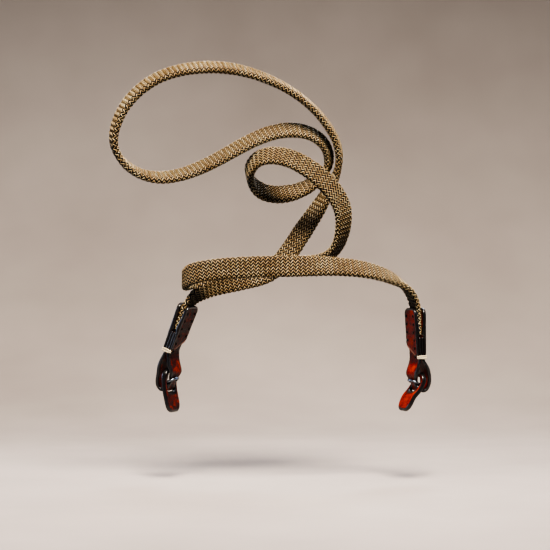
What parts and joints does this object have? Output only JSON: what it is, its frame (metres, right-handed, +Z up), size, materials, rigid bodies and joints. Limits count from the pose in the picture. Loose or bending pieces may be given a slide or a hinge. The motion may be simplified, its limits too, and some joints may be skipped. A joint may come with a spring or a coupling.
{
  "type": "shoulder strap",
  "caption": "Flat woven shoulder strap laid in a loose coil, with stitched leather ends, folded leather loops, wire rings and slotted leather tabs.",
  "frame": {"origin": "midway between the centres of the two end rings", "axes": "+X to the viewer's right, along the line from the left ring to the right ring, +Y away from the viewer, +Z up, the way the coil rises"},
  "size_m": [0.1922, 0.0614, 0.2105],
  "materials": {
    "woven_band": "matt woven cord",
    "leather": "smooth with burnished dark edges",
    "thread": "waxed thread",
    "ring_steel": "plain wire"
  },
  "bodies": {
    "root": {"strap_braid": "woven_band", "left_outer_panel": "leather", "left_inner_panel": "leather", "left_loop_strip": "leather", "left_thread_tack": "thread", "left_ring": "ring_steel", "left_lug_tab": "leather", "right_outer_panel": "leather", "right_inner_panel": "leather", "right_loop_strip": "leather", "right_thread_tack": "thread", "right_ring": "ring_steel", "right_lug_tab": "leather"}
  },
  "joints": []
}
